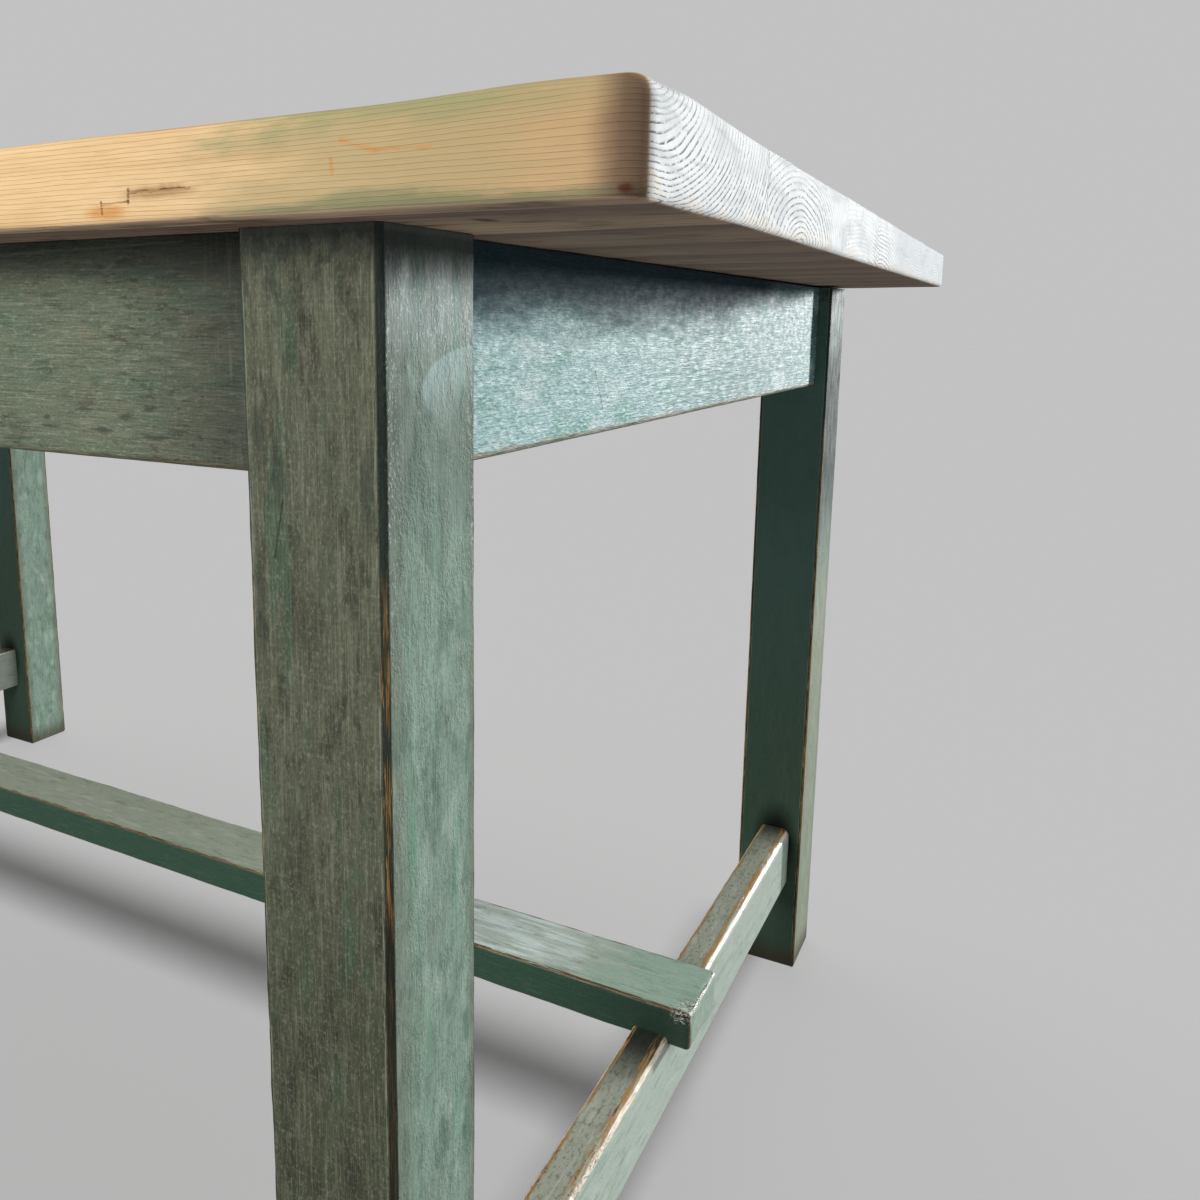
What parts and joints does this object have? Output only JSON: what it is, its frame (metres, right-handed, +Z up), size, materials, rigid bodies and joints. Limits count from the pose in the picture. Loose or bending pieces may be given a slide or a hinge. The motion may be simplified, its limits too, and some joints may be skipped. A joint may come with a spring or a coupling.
{
  "type": "dining table",
  "caption": "Plank-topped dining table on square painted legs, with tenoned aprons, low end stretchers and a long notched middle stretcher.",
  "frame": {"origin": "on the floor under the middle of the top", "axes": "+X along the length, +Y from the pictured side to the far side, +Z up"},
  "size_m": [1.555, 0.89, 0.77],
  "materials": {
    "bare_pine": "bare, limed at the end grain",
    "green_paint": "worn satin paint",
    "spline_wood": "bare",
    "button_wood": "bare",
    "screw_steel": "dull zinc"
  },
  "bodies": {
    "root": {"top_board_1": "bare_pine", "top_board_2": "bare_pine", "top_board_3": "bare_pine", "top_board_4": "bare_pine", "top_board_5": "bare_pine", "top_board_6": "bare_pine", "leg_front_left": "green_paint", "leg_front_right": "green_paint", "leg_back_right": "green_paint", "leg_back_left": "green_paint", "apron_front": "green_paint", "apron_right": "green_paint", "apron_back": "green_paint", "apron_left": "green_paint", "end_stretcher_left": "green_paint", "end_stretcher_right": "green_paint", "long_stretcher": "green_paint", "top_spline_1": "spline_wood", "top_spline_2": "spline_wood", "top_spline_3": "spline_wood", "top_spline_4": "spline_wood", "top_spline_5": "spline_wood", "lap_dowels": "spline_wood", "button_front_1": "button_wood", "button_front_2": "button_wood", "button_front_3": "button_wood", "button_right_1": "button_wood", "button_right_2": "button_wood", "button_back_1": "button_wood", "button_back_2": "button_wood", "button_back_3": "button_wood", "button_left_1": "button_wood", "button_left_2": "button_wood", "button_screws": "screw_steel"}
  },
  "joints": []
}
